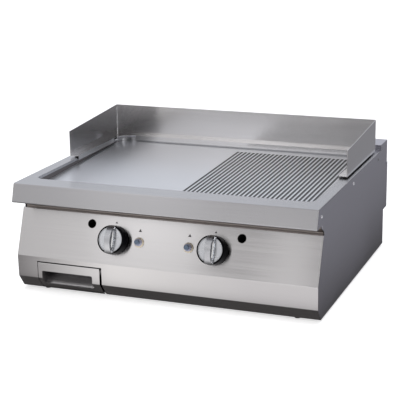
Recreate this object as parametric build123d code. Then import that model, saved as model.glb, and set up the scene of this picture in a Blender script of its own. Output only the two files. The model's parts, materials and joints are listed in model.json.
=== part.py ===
"""Counter-top gas griddle, 800 mm module, as separate sheet-metal and gas-train pieces.

Everything is drawn in a working frame: x = 0 on the centre line, y = 0 at the worktop's front
edge with +y to the back, z = 0 at the casing's underside. save() then moves each piece to the
part's own frame, whose origin is on the floor under the middle of the whole griddle.
"""
import math
import os

from build123d import *

# ---- driving dimensions, mm ----
WIDTH = 800.0
WORKTOP_H = 280.0
REAR_Y = 705.5
FOOT_H = 6.0
SHEET = 1.5
WORKTOP_SHEET = 2.0
FIT_GAP = 0.3
HALF_W = WIDTH / 2
SIDES = {"left": -1, "right": 1}

# worktop, its front apron and the pan let into it
APRON_TIP = (-14.5, 232.0)
APRON_HEM = 14.0
WORKTOP_REAR_Y = 640.0
PAN_X = 370.0
PAN_Y = (60.0, 578.0)
PAN_FRONT_R = 21.0
PAN_BACK_R = 50.0
PAN_SKIRT_Z = 250.0
PAN_RIM_R = 1.4
SIDE_FLANGE_Z = 252.0
SIDE_FLANGE_T = 2.0
SIDE_SCREWS = ((24.8, 256.3), (321.0, 261.7), (590.0, 261.7))

# griddle plate: falls towards the gutter; right half ribbed
PLATE_Y = (103.0, 577.7)
PLATE_TOP_Z = (260.0, 270.0)
PLATE_T = 12.0
RIB_X = (8.0, 366.0)
RIB_PITCH = 11.55
GROOVE_W = 6.4
GROOVE_DEPTH = 4.0
RIB_END_Y = 535.0
GUTTER_Z = 236.0
DRAIN_AT = (-256.0, 82.0)
DRAIN_R = 18.0
DRAIN_COLLAR_R = 27.0
DRAIN_COLLAR_T = 2.0
DRAIN_END_Z = 78.0
GUTTER_BACK_Z = 247.5

# front panel: outer fold line from the top return to the bottom return, as (y, z)
PANEL_TOP = (43.4, 206.0)
PANEL_FOLD = (-0.6, 89.8)
BAND_FOOT = (0.4, 32.8)
CHAMFER_FOOT = (24.9, 0.0)
PANEL_LINE = ((52.0, 206.0), PANEL_TOP, PANEL_FOLD, BAND_FOOT, CHAMFER_FOOT, (33.0, 0.0))
BEND_R = 1.0
RECESS_LINE = ((30.0, 276.0), (30.0, 226.0), (53.5, 210.0), (53.5, 190.0))
RECESS_T = 1.2
RECESS_HALF_W = 396.0

# casing inside: posts as (y, top height), and air slots in the floor
POSTS = ((60.0, 235.0), (606.0, 277.5))
POST_X = (376.0, 395.0)
POST_T = 2.0
POST_LEG = 20.0
SIDE_FOOT_W = 16.5
FLOOR_SLOTS_X = (-60.0, 60.0, 180.0, 300.0)
FLOOR_SLOTS_Y = (300.0, 400.0)
FLOOR_SLOT = (80.0, 12.0)

# rear: lower part set back for the pipework
REAR_STEP_Z = 99.5
REAR_STEP = 40.0
REAR_TOP_Z = 231.0
LOUVRES = (9, 4)
LOUVRE_PITCH = (70.0, 22.0)
LOUVRE_SIZE = (50.0, 6.0)
LOUVRE_LOW_Z = 125.0
FLUE_Y = (629.0, 704.0)
FLUE_TOP_Z = 294.0
FLUE_X = 398.5
FLUE_FOOT = ((677.6, 232.0), (650.0, 245.0), (642.5, 280.4))
FLUE_SLOTS = (16, 2)
FLUE_SLOT_START = (-345.0, 646.0)
FLUE_SLOT_PITCH = (46.0, 27.0)
FLUE_SLOT = (34.0, 10.0)
DUCT_X = 320.0
DUCT_Z = (185.0, 246.0, 291.0)
DUCT_Y = (645.0, 700.0)
DUCT_T = 1.2

# splash guard
GUARD_X = 390.0
GUARD_Y = (293.0, 598.0)
GUARD_TOP_Z = (353.0, 371.0)
GUARD_FOOT_Z = 284.5
GUARD_INNER_X = 368.0
GUARD_LIP_Z = 273.0
GUARD_CORNER_R = 4.0
BUFFER_X = 380.0
BUFFERS_Y = (315.0, 560.0)
BUFFER_R = 6.0

# controls, placed by x and by the distance down the panel's slope
KNOB_X = 132.4
KNOB_S = 62.0
KNOB_R = 37.0
KNOB_RIM_R = 35.0
KNOB_STANDOFF = 4.5
KNOB_RIM_H = 28.0
KNOB_FACE_R = 31.3
KNOB_SEAT_H = 23.5
KNOB_HUB_R = 10.0
GRIP_H = 47.0
GRIP_END_R = 34.6
GRIP_HALF_W = {"top": 7.6, "waist": 8.3, "foot": 12.0}
SPINDLE_R = 4.0
SPINDLE_BORE_R = 4.06
SPINDLE_SPAN = (-38.0, 22.0)
IGNITER_X = 66.0
IGNITER_S = 61.5
IGNITER_RING_R = 12.8
IGNITER_BARREL_R = 8.0
IGNITER_COLLAR_H = 10.2
BUTTON_R = 5.95
BUTTON_BORE_R = 6.0
BUTTON_H = 20.0
SIGHT_X = 200.0
SIGHT_S = 26.3
SIGHT_R = 11.3
MARK_S = 18.0
MARK_SIZE = 3.4
SPARK_MARK_S = 32.5
SPARK_MARK_SIZE = 5.0

# grease drawer
DRAWER_X = (-343.0, -169.0)
DRAWER_TOP_Z = 75.0
DRAWER_CUTOUT_X = (-344.5, -163.0)
DRAWER_CUTOUT_TOP_Z = 78.0
HANDLE_X = (-332.0, -190.0)
HANDLE_Z = (16.4, 52.8)
HANDLE_CORNER_R = 4.0
POCKET_T = 1.2
TRAY_X = (-327.0, -181.0)
TRAY_Y = (46.0, 440.0)
TRAY_Z = (9.0, 64.0)
TRAY_T = 1.0
TRAY_CORNER_R = 6.0
POCKET_STEP_Y = 16.0
POCKET_BACK_H = 6.0
RUNNER_Y = (60.0, 470.0)
RUNNER_Z = (3.0, 36.0)
RUNNER_LEDGE_Z = 7.2
RUNNER_LEDGE = 12.0
RUNNER_T = 1.2

# burners and gas train
BURNER_TUBES_X = (65.0, 185.0, 305.0)
BURNER_Z = 175.0
BURNER_R = 16.0
BURNER_HEADER_Y = 150.0
BURNER_END_Y = 575.0
BURNER_PORTS = 12
BURNER_PORT_PITCH = 32.0
BOX_Y = (125.0, 600.0)
BOX_Z = (118.0, 247.0)
BOX_X = 372.0
SHIELD_Z = 100.0
BRACKET_Y = (175.0, 550.0)
MANIFOLD_Y = 80.0
MANIFOLD_Z = 70.0
MANIFOLD_START_X = -160.0
MANIFOLD_END_Y = 649.0
PIPE_R = 12.0
PIPE_BORE_R = 9.5
FEED_PIPE_R = 4.0
INJECTOR_Y = 101.0
VALVE_OUTLET = (84.0, 128.0)
IGNITION_Z = 209.0
PILOT_X = 93.0
THERMOCOUPLE_X = 81.0
ELECTRODE_X = 105.0
SUPPLY_X = 345.0
INLET_R = 10.48
INLET_BORE_R = 7.5
INLET_LENGTH = 28.0
INLET_NUT_R = 15.0
LOCK_NUT_T = 5.0

# feet and fasteners
FEET = ((-338.0, 42.0), (338.0, 42.0), (-338.0, 640.0), (338.0, 640.0))
FOOT_R = 8.0
SCREW_R = 2.1
SCREW_HOLE_R = 2.2
SCREW_HEAD_R = 4.0
BACK_SCREWS_X = (-380.0, -190.0, 0.0, 190.0, 380.0)
BACK_SCREW_Z = 86.0


# ---- helpers ----
def block(x, y, z):
    """A box between two x, two y and two z values."""
    size = (x[1] - x[0], y[1] - y[0], z[1] - z[0])
    return Pos(x[0], y[0], z[0]) * Box(*size, align=(Align.MIN, Align.MIN, Align.MIN))


def span(half):
    """Symmetric range."""
    return (-half, half)


def mirrored(side, near, far):
    """An x range on one side of the centre line."""
    sign = SIDES[side]
    return tuple(sorted((sign * near, sign * far)))


def prism(points, x):
    """A solid with a (y, z) outline between two x values."""
    outline = make_face(Plane.YZ * Polyline(*points, close=True))
    return Pos(x[0], 0, 0) * extrude(outline, x[1] - x[0], dir=(1, 0, 0))


def offset_line(points, distance):
    """The points of an open (y, z) line moved to its left, with mitred corners."""
    normals = []
    for (y0, z0), (y1, z1) in zip(points, points[1:]):
        length = math.hypot(y1 - y0, z1 - z0)
        normals.append((-(z1 - z0) / length, (y1 - y0) / length))
    moved = []
    for i, (y, z) in enumerate(points):
        a = normals[max(i - 1, 0)]
        b = normals[min(i, len(normals) - 1)]
        scale = distance / (1 + a[0] * b[0] + a[1] * b[1])
        moved.append((y + (a[0] + b[0]) * scale, z + (a[1] + b[1]) * scale))
    return moved


def folded_sheet(points, thickness, x, bend_r=BEND_R):
    """A bent sheet whose outer face follows the line, with rounded bends."""
    inner = offset_line(points, thickness)
    sheet = prism(list(points) + inner[::-1], x)
    for i in range(1, len(points) - 1):
        (y0, z0), (y1, z1), (y2, z2) = points[i - 1:i + 2]
        turns_left = (y1 - y0) * (z2 - z1) - (z1 - z0) * (y2 - y1) > 0
        outer_r = bend_r + thickness if turns_left else bend_r
        inner_r = bend_r if turns_left else bend_r + thickness
        sheet = fillet(edge_at(sheet, points[i]), outer_r)
        sheet = fillet(edge_at(sheet, inner[i]), inner_r)
    return sheet


def edge_at(solid, point):
    """The edges along x that pass through a (y, z) point."""
    found = []
    for edge in solid.edges().filter_by(Axis.X):
        middle = edge.center()
        if math.hypot(middle.Y - point[0], middle.Z - point[1]) < 0.05:
            found.append(edge)
    return found


def rod(start, end, radius):
    """A round bar between two points."""
    axis = Vector(*end) - Vector(*start)
    plane = Plane(origin=start, z_dir=axis.normalized())
    return extrude(plane * Circle(radius), axis.length)


def rounded_pan(grow, z):
    """The pan's plan shape, with small front and large back corners, as a prism."""
    x = PAN_X + grow
    prism_block = block(span(x), (PAN_Y[0] - grow, PAN_Y[1] + grow), z)
    uprights = prism_block.edges().filter_by(Axis.Z)
    front = uprights.sort_by(Axis.Y)[:2]
    prism_block = fillet(front, PAN_FRONT_R + grow)
    back = prism_block.edges().filter_by(Axis.Z).sort_by(Axis.Y)[-2:]
    return fillet(back, PAN_BACK_R + grow)


def on_panel(x, down):
    """A plane on the sloping panel: x right, y up the slope, z out of the panel."""
    dy = PANEL_FOLD[0] - PANEL_TOP[0]
    dz = PANEL_FOLD[1] - PANEL_TOP[1]
    slope = math.hypot(dy, dz)
    origin = (x, PANEL_TOP[0] + dy / slope * down, PANEL_TOP[1] + dz / slope * down)
    return Plane(origin=origin, x_dir=(1, 0, 0), z_dir=(0, dz / slope, -dy / slope))


def disc(plane, radius, z):
    """A round solid standing on a plane between two heights."""
    return extrude(plane.offset(z[0]) * Circle(radius), z[1] - z[0])


def ring(plane, radius, bore, z):
    return disc(plane, radius, z) - disc(plane, bore, z)


def lathe(plane, outline):
    """A solid turned from (radius, height) points about a plane's own z axis."""
    half = make_face(Plane.XZ * Polyline(*outline, close=True))
    return plane.location * revolve(half, Axis.Z)


# ---- casing ----
def worktop():
    """Folded top with its apron, the walls of the pan and a flange inside each side."""
    line = ((WORKTOP_REAR_Y, WORKTOP_H), (0, WORKTOP_H), APRON_TIP, (APRON_TIP[0] + APRON_HEM, APRON_TIP[1]))
    top = folded_sheet(line, WORKTOP_SHEET, span(HALF_W))
    top += rounded_pan(WORKTOP_SHEET, (PAN_SKIRT_Z, WORKTOP_H - WORKTOP_SHEET))
    for side in SIDES:
        flange_x = mirrored(side, HALF_W - SHEET - 0.1 - SIDE_FLANGE_T, HALF_W - SHEET - 0.1)
        top += block(flange_x, (4, WORKTOP_REAR_Y), (SIDE_FLANGE_Z, WORKTOP_H - WORKTOP_SHEET))
        top -= side_screw_shanks(side, SCREW_HOLE_R)
    top -= rounded_pan(0, (PAN_SKIRT_Z - 1, WORKTOP_H + 1))
    rim = top.edges().group_by(Axis.Z)[-1].filter_by(lambda e: abs(e.center().X) < PAN_X + 1
                                                      and PAN_Y[0] - 1 < e.center().Y < PAN_Y[1] + 1)
    return fillet(rim, PAN_RIM_R)


def side_screw_shanks(side, radius):
    sign = SIDES[side]
    shanks = [rod((sign * (HALF_W - 12), y, z), (sign * (HALF_W + 1), y, z), radius) for y, z in SIDE_SCREWS]
    return Part() + shanks


def recess_strip():
    """The set-back strip that closes the gap between the worktop and the front panel."""
    outline = list(RECESS_LINE) + offset_line(RECESS_LINE, RECESS_T)[::-1]
    return prism(outline, span(RECESS_HALF_W))


def side_panel(side):
    """Flat side with the outline of the whole casing and a foot flange turned in below."""
    apron = offset_line(((WORKTOP_REAR_Y, WORKTOP_H), (0, WORKTOP_H), APRON_TIP,
                         (APRON_TIP[0] + APRON_HEM, APRON_TIP[1])), WORKTOP_SHEET)
    front = offset_line(PANEL_LINE, SHEET)
    outline = [apron[0], apron[1], apron[2], apron[3]]
    recess_y, recess_z = RECESS_LINE[1]
    outline += [(recess_y, apron[3][1]), (recess_y, recess_z), (PANEL_LINE[0][0], RECESS_LINE[2][1] + 1)]
    outline += list(front)
    back_y = REAR_Y - REAR_STEP
    outline += [PANEL_LINE[-1], (back_y, 0), (back_y, REAR_STEP_Z), (REAR_Y, REAR_STEP_Z)]
    outline += [(REAR_Y, REAR_TOP_Z), (677, REAR_TOP_Z), (649, 244), (641, apron[0][1])]
    panel = prism(outline, mirrored(side, HALF_W - SHEET, HALF_W))
    flange_x = mirrored(side, HALF_W - SHEET - SIDE_FOOT_W, HALF_W - SHEET)
    panel += block(flange_x, (45, back_y - 3), (0, SHEET))
    return panel - side_screw_shanks(side, SCREW_HOLE_R)


def front_panel():
    """Sloping control panel, upright band and chamfered foot, cut out for the drawer and the controls."""
    panel = folded_sheet(PANEL_LINE, SHEET, span(HALF_W))
    panel -= block(DRAWER_CUTOUT_X, (-5, 45), (-1, DRAWER_CUTOUT_TOP_Z))
    for sign in SIDES.values():
        for x, down, radius in ((KNOB_X, KNOB_S, SPINDLE_R + 2.5),
                                (IGNITER_X, IGNITER_S, IGNITER_BARREL_R + 0.1),
                                (SIGHT_X, SIGHT_S, SIGHT_R)):
            panel -= disc(on_panel(sign * x, down), radius, (-5, 5))
    return panel


def back_panel():
    """Stepped back with rows of louvre slots and the hole of the gas inlet."""
    back_y = REAR_Y - REAR_STEP
    line = ((back_y - 12, 1.6), (back_y, 1.6), (back_y, REAR_STEP_Z), (REAR_Y, REAR_STEP_Z),
            (REAR_Y, REAR_TOP_Z - 0.5))
    panel = folded_sheet(line, SHEET, span(HALF_W - SHEET - 0.1))
    panel -= rod((SUPPLY_X, back_y - 5, MANIFOLD_Z), (SUPPLY_X, back_y + 5, MANIFOLD_Z), INLET_R + 0.4)
    columns, rows = LOUVRES
    for row in range(rows):
        for column in range(columns):
            x = (column - (columns - 1) / 2) * LOUVRE_PITCH[0]
            z = LOUVRE_LOW_Z + row * LOUVRE_PITCH[1]
            slot_x = (x - LOUVRE_SIZE[0] / 2, x + LOUVRE_SIZE[0] / 2)
            panel -= block(slot_x, (REAR_Y - 5, REAR_Y + 5), (z, z + LOUVRE_SIZE[1]))
    return panel


def base_pan():
    """Flat floor with air slots under the burners."""
    floor_y = (33.5, REAR_Y - REAR_STEP - 12.5)
    pan = block(span(HALF_W - SHEET - 0.3), floor_y, (SHEET, 2 * SHEET))
    length, width = FLOOR_SLOT
    for x in FLOOR_SLOTS_X:
        for y in FLOOR_SLOTS_Y:
            pan -= block((x - length / 2, x + length / 2), (y, y + width), (0, 5))
    for x, y in FEET:
        pan -= rod((x, y, 0), (x, y, 5), SCREW_HOLE_R)
    return pan


def frame_angles():
    """Four upright angles that carry the worktop."""
    angles = []
    for side in SIDES:
        for y, top_z in POSTS:
            web = block(mirrored(side, *POST_X), (y, y + POST_T), (2 * SHEET, top_z))
            leg = block(mirrored(side, POST_X[1] - POST_T, POST_X[1]), (y, y + POST_LEG), (2 * SHEET, top_z))
            angles.append(web + leg)
    return Compound(angles)


def feet():
    pads = []
    for x, y in FEET:
        pad = rod((x, y, -FOOT_H), (x, y, SHEET), FOOT_R)
        pad = chamfer(pad.edges().group_by(Axis.Z)[0], 0.8)
        pads.append(pad - rod((x, y, -FOOT_H + 2), (x, y, SHEET + 1), SCREW_HOLE_R))
    return Compound(pads)


def foot_screws():
    return Compound([rod((x, y, -FOOT_H + SCREW_R), (x, y, FOOT_R), SCREW_R) for x, y in FEET])


def casing_screws():
    """Panel screws with low round heads."""
    screws = []
    for sign in SIDES.values():
        for y, z in SIDE_SCREWS:
            head = rod((sign * HALF_W, y, z), (sign * (HALF_W + 1.0), y, z), SCREW_HEAD_R)
            outer = head.edges().sort_by(Axis.X)[-1 if sign > 0 else 0]
            head = fillet(outer, 0.8)
            screws.append(head + rod((sign * (HALF_W - 9), y, z), (sign * HALF_W, y, z), SCREW_R))
    back_y = REAR_Y - REAR_STEP
    for x in BACK_SCREWS_X:
        screws.append(rod((x, back_y, BACK_SCREW_Z), (x, back_y + 1.5, BACK_SCREW_Z), SCREW_HEAD_R))
    return Compound(screws)


# ---- flue ----
def flue_casing():
    """Raised box along the back with rows of outlet slots in its top."""
    foot_z = FLUE_FOOT[-1][1]
    cheek = [(FLUE_Y[0], FLUE_TOP_Z), (FLUE_Y[1], FLUE_TOP_Z), (FLUE_Y[1], FLUE_FOOT[0][1]), *FLUE_FOOT,
             (FLUE_Y[0], foot_z)]
    inside = [(FLUE_Y[0] + SHEET, FLUE_TOP_Z - SHEET), (FLUE_Y[1] - SHEET, FLUE_TOP_Z - SHEET),
              (FLUE_Y[1] - SHEET, 200), (FLUE_Y[0] + SHEET, 200)]
    casing = prism(cheek, span(FLUE_X))
    casing = fillet(edge_at(casing, cheek[0]) + edge_at(casing, cheek[1]), 1.2)
    casing -= prism(inside, span(FLUE_X - SHEET))
    columns, rows = FLUE_SLOTS
    for row in range(rows):
        for column in range(columns):
            x = FLUE_SLOT_START[0] + column * FLUE_SLOT_PITCH[0]
            y = FLUE_SLOT_START[1] + row * FLUE_SLOT_PITCH[1]
            casing -= slot_cutter(x, y)
    return casing


def slot_cutter(x, y):
    """A round-ended slot through the flue's top."""
    length, width = FLUE_SLOT
    cutter = block((x - length / 2, x + length / 2), (y - width / 2, y + width / 2),
                   (FLUE_TOP_Z - 4, FLUE_TOP_Z + 2))
    return fillet(cutter.edges().filter_by(Axis.Z), width / 2 - 0.1)


def flue_duct():
    """Bent duct from the burner box's back up to the flue slots."""
    (low, roof, top), (near, far), t = DUCT_Z, DUCT_Y, DUCT_T
    outer = [(BOX_Y[1], low), (far, low), (far, top), (near, top), (near, roof), (BOX_Y[1], roof)]
    inner = [(BOX_Y[1] - 1, low + t), (far - t, low + t), (far - t, top + 1), (near + t, top + 1),
             (near + t, roof - t), (BOX_Y[1] - 1, roof - t)]
    return prism(outer, span(DUCT_X)) - prism(inner, span(DUCT_X - t))


# ---- pan, plate and drain ----
def griddle_plate():
    """Thick sloping plate, smooth on the left and grooved on the right."""
    (front, back), (low, high) = PLATE_Y, PLATE_TOP_Z
    section = [(front, low), (back, high), (back, high - PLATE_T), (front, low - PLATE_T)]
    plate = prism(section, span(PAN_X - FIT_GAP))
    corners = plate.edges().filter_by(Axis.Z).sort_by(Axis.Y)[-2:]
    plate = fillet(corners, PAN_BACK_R - FIT_GAP)
    cutters = []
    count = int((RIB_X[1] - RIB_X[0]) / RIB_PITCH)
    for i in range(count):
        cutters.append(groove(RIB_X[0] + RIB_PITCH * (i + 0.5)))
    return plate - cutters


def groove(x):
    """One groove that runs down the plate's fall and closes in a short ramp at the back."""
    fall = (PLATE_TOP_Z[1] - PLATE_TOP_Z[0]) / (PLATE_Y[1] - PLATE_Y[0])
    start_z = PLATE_TOP_Z[0] - 10 * fall
    run = Plane(origin=(x, PLATE_Y[0] - 10, start_z), x_dir=(1, 0, 0), z_dir=(0, 1, fall))
    half_top = GROOVE_W / 2
    half_foot = GROOVE_W / 2 - 2.0
    mouth = half_top + 0.5
    section = ((-mouth, 1), (mouth, 1), (half_foot, -GROOVE_DEPTH), (-half_foot, -GROOVE_DEPTH))
    length = RIB_END_Y - PLATE_Y[0] + 10
    cutter = extrude(run * make_face(Polyline(*section, close=True)), length, dir=run.z_dir)
    ramp = Rot(45, 0, 0) * block((x - 10, x + 10), (0, 30), (-30, 30))
    return cutter - Pos(0, RIB_END_Y, PLATE_TOP_Z[1]) * ramp


def grease_gutter():
    """Trough along the plate's front edge, open to the plate, with the drain hole."""
    gutter = block(span(PAN_X - 0.1), (PAN_Y[0] + 0.1, PLATE_Y[0] + 2), (GUTTER_Z, 262))
    gutter = fillet(gutter.edges().filter_by(Axis.Z).sort_by(Axis.Y)[:2], PAN_FRONT_R)
    channel = block(span(PAN_X - SHEET), (PAN_Y[0] + SHEET, PLATE_Y[0] + 0.5), (GUTTER_Z + SHEET, 270))
    gutter -= fillet(channel.edges().filter_by(Axis.Z).sort_by(Axis.Y)[:2], PAN_FRONT_R - SHEET)
    gutter -= block(span(PAN_X + 1), (PLATE_Y[0] - 0.4, PLATE_Y[0] + 5), (GUTTER_BACK_Z, 270))
    x, y = DRAIN_AT
    return gutter - rod((x, y, GUTTER_Z - 2), (x, y, GUTTER_Z + 5), DRAIN_R)


def drain_spout():
    """Tube under the gutter that leads the grease into the drawer."""
    x, y = DRAIN_AT
    top = GUTTER_Z - 0.1
    spout = rod((x, y, DRAIN_END_Z), (x, y, top), DRAIN_R + SHEET)
    spout += rod((x, y, top - DRAIN_COLLAR_T), (x, y, top), DRAIN_COLLAR_R)
    return spout - rod((x, y, DRAIN_END_Z - 1), (x, y, top + 1), DRAIN_R)


# ---- splash guard ----
def splash_guard():
    """Wings and back with a foot flange, and a lip turned down into the pan."""
    (front, back), (low, high) = GUARD_Y, GUARD_TOP_Z
    sides = [(front, GUARD_FOOT_Z), (front, low), (back, high), (back, GUARD_FOOT_Z)]
    guard = prism(sides, span(GUARD_X))
    uprights = guard.edges().filter_by(Axis.Z).sort_by(Axis.Y)[-2:]
    guard = fillet(uprights, GUARD_CORNER_R)
    well = block(span(GUARD_X - SHEET), (front - 5, back - SHEET), (GUARD_FOOT_Z + SHEET, high + 5))
    well = fillet(well.edges().filter_by(Axis.Z).sort_by(Axis.Y)[-2:], GUARD_CORNER_R - SHEET)
    opening = block(span(GUARD_INNER_X), (front - 5, PAN_Y[1] - 2), (GUARD_FOOT_Z - 5, high))
    opening = fillet(opening.edges().filter_by(Axis.Z).sort_by(Axis.Y)[-2:], PAN_BACK_R - 2)
    guard = guard - well - opening
    for side in SIDES:
        lip_x = mirrored(side, GUARD_INNER_X, GUARD_INNER_X - SHEET)
        guard += block(lip_x, (front + 6, PAN_Y[1] - PAN_BACK_R - 2), (GUARD_LIP_Z, GUARD_FOOT_Z + SHEET))
    lip_y = (PAN_Y[1] - 2 - SHEET, PAN_Y[1] - 2)
    guard += block(span(PAN_X - PAN_BACK_R), lip_y, (GUARD_LIP_Z, GUARD_FOOT_Z + SHEET))
    return guard


def guard_buffers():
    """Thin pads under the guard's flange that keep it off the worktop."""
    pads = []
    for sign in SIDES.values():
        for y in BUFFERS_Y:
            x = sign * BUFFER_X
            pads.append(rod((x, y, WORKTOP_H + 0.5), (x, y, GUARD_FOOT_Z), BUFFER_R))
    return Compound(pads)


# ---- burners and gas train ----
def burner_box():
    box = block(span(BOX_X), BOX_Y, BOX_Z)
    box -= block(span(BOX_X - SHEET), (BOX_Y[0] + SHEET, BOX_Y[1] - SHEET), (BOX_Z[0] + SHEET, BOX_Z[1] + 1))
    box += block((-0.75, 0.75), (BOX_Y[0], BOX_Y[1]), (BOX_Z[0], BOX_Z[1] - 4))
    box -= block(span(318), (BOX_Y[1] - 3, BOX_Y[1] + 3), (190, 243))
    for sign in SIDES.values():
        for x in BURNER_TUBES_X:
            box -= block((sign * x - 12, sign * x + 12), (190, 560), (BOX_Z[0] - 2, BOX_Z[0] + 4))
        inlet = (sign * KNOB_X, BOX_Y[0] - 5, BURNER_Z), (sign * KNOB_X, BOX_Y[0] + 5, BURNER_Z)
        box -= rod(*inlet, 17.0)
    return box


def heat_shield():
    shield = block(span(BOX_X + 3), (BOX_Y[0], WORKTOP_REAR_Y), (SHIELD_Z, SHIELD_Z + 1.2))
    for sign in SIDES.values():
        for y in (160, 560):
            shield += rod((sign * 350, y, SHIELD_Z + 1), (sign * 350, y, BOX_Z[0] - 0.1), 4)
    return shield


def burner(side):
    """Three ported branches on a header, fed through one mixing tube."""
    y = BURNER_HEADER_Y
    ends = BURNER_TUBES_X[0] - 20, BURNER_TUBES_X[-1] + 20
    header = rod((ends[0], y, BURNER_Z), (ends[1], y, BURNER_Z), BURNER_R + 2)
    body = header + rod((KNOB_X, 116, BURNER_Z), (KNOB_X, y, BURNER_Z), BURNER_R)
    ports = []
    for x in BURNER_TUBES_X:
        body += rod((x, y, BURNER_Z), (x, BURNER_END_Y, BURNER_Z), BURNER_R)
        for i in range(BURNER_PORTS):
            port_y = y + 40 + i * BURNER_PORT_PITCH
            port = block((x - 12, x + 12), (port_y - 1, port_y + 1), (BURNER_Z + 11, BURNER_Z + 20))
            ports.append(port)
    body -= rod((KNOB_X, 110, BURNER_Z), (KNOB_X, y, BURNER_Z), BURNER_R - 3)
    body -= ports
    return body if side == "right" else mirror(body, Plane.YZ)


def burner_brackets():
    bars = []
    for y in BRACKET_Y:
        bar = block(span(BOX_X - 4), (y, y + 3), (BOX_Z[0] + SHEET + 0.1, BURNER_Z))
        for sign in SIDES.values():
            for x in BURNER_TUBES_X:
                bar -= rod((sign * x, y - 2, BURNER_Z), (sign * x, y + 5, BURNER_Z), BURNER_R + 0.2)
        bar -= block((-2, 2), (y - 1, y + 4), (BOX_Z[0], BURNER_Z + 1))
        bars += bar.solids()
    return Compound(bars)


def valve(side):
    """Gas tap behind the panel, with its tail on the manifold and its outlet to the rear."""
    x = SIDES[side] * KNOB_X
    plane = on_panel(x, KNOB_S)
    outlet_y, outlet_z = VALVE_OUTLET
    body = extrude(plane.offset(-62) * Rectangle(36, 40), 50)
    body = fillet(body.edges().filter_by(Axis.X), 4)
    body += rod((x, MANIFOLD_Y - 4, MANIFOLD_Z + PIPE_R), (x, MANIFOLD_Y - 4, outlet_z - 3), 7)
    body += rod((x, outlet_y - 18, outlet_z), (x, outlet_y, outlet_z), 6)
    return body - disc(plane, SPINDLE_BORE_R, (SPINDLE_SPAN[0] - 4, -11))


def spindle(side):
    return disc(on_panel(SIDES[side] * KNOB_X, KNOB_S), SPINDLE_R, SPINDLE_SPAN)


def thrust_collar(side):
    return ring(on_panel(SIDES[side] * KNOB_X, KNOB_S), 8, SPINDLE_BORE_R, (-7, -4.5))


def feed_pipe(side):
    x = SIDES[side] * KNOB_X
    outlet_y, outlet_z = VALVE_OUTLET
    start = (x, outlet_y + 0.2, outlet_z)
    rise_y = outlet_y + 10
    corners = start, (x, rise_y, outlet_z), (x, rise_y, BURNER_Z), (x, INJECTOR_Y, BURNER_Z)
    path = FilletPolyline(*corners, radius=5)
    return sweep(Plane(origin=path @ 0, z_dir=path % 0) * Circle(FEED_PIPE_R), path)


def injector(side):
    x = SIDES[side] * KNOB_X
    body = rod((x, INJECTOR_Y + 0.2, BURNER_Z), (x, INJECTOR_Y + 7, BURNER_Z), 8)
    return body + rod((x, INJECTOR_Y + 7, BURNER_Z), (x, INJECTOR_Y + 14, BURNER_Z), 4.5)


def gas_manifold():
    """The pipe from the left tap round to the inlet at the back, closed at its left end."""
    start = (MANIFOLD_START_X, MANIFOLD_Y, MANIFOLD_Z)
    corner = (SUPPLY_X, MANIFOLD_Y, MANIFOLD_Z)
    path = FilletPolyline(start, corner, (SUPPLY_X, MANIFOLD_END_Y, MANIFOLD_Z), radius=30)
    pipe = sweep(Plane(origin=path @ 0, z_dir=path % 0) * Circle(PIPE_R), path)
    bore = sweep(Plane(origin=path @ 0, z_dir=path % 0) * Circle(PIPE_BORE_R), path)
    cap = rod(start, (MANIFOLD_START_X + 4, MANIFOLD_Y, MANIFOLD_Z), PIPE_R)
    return pipe - bore + cap


def hex_nut(y):
    """A hexagon round the supply pipe between two y values."""
    plane = Plane(origin=(SUPPLY_X, y[0], MANIFOLD_Z), z_dir=(0, 1, 0))
    return extrude(plane * RegularPolygon(INLET_NUT_R, 6), y[1] - y[0])


def gas_inlet():
    """Threaded inlet clamped in the back panel between a hexagon and a lock nut."""
    back_y = REAR_Y - REAR_STEP
    start_y = MANIFOLD_END_Y + 0.2
    thread_y = back_y + 0.2 + LOCK_NUT_T
    end_y = thread_y + INLET_LENGTH
    body = hex_nut((start_y, back_y - SHEET - 0.2)) + hex_nut((back_y + 0.2, thread_y))
    body += rod((SUPPLY_X, start_y, MANIFOLD_Z), (SUPPLY_X, end_y, MANIFOLD_Z), INLET_R)
    return body - rod((SUPPLY_X, start_y - 1, MANIFOLD_Z), (SUPPLY_X, end_y + 1, MANIFOLD_Z), INLET_BORE_R)


def pilot(side):
    """Pilot burner on the plate that also carries the thermocouple and the electrode."""
    sign = SIDES[side]
    wall = BOX_Y[0] + SHEET + 0.1
    plate = block(mirrored(side, THERMOCOUPLE_X - 7, ELECTRODE_X + 7), (wall, wall + 2),
                  (IGNITION_Z - 12, IGNITION_Z + 12))
    return plate + rod((sign * PILOT_X, wall, IGNITION_Z), (sign * PILOT_X, wall + 24, IGNITION_Z), 6)


def thermocouple(side):
    x = SIDES[side] * THERMOCOUPLE_X
    wall = BOX_Y[0] + SHEET + 2.2
    return rod((x, wall, IGNITION_Z), (x, wall + 40, IGNITION_Z), 2.2)


def electrode(side):
    x = SIDES[side] * ELECTRODE_X
    wall = BOX_Y[0] + SHEET + 2.2
    ceramic = rod((x, wall, IGNITION_Z), (x, wall + 22, IGNITION_Z), 3.5)
    return ceramic + rod((x, wall + 22, IGNITION_Z), (x, wall + 32, IGNITION_Z), 1)


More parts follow.
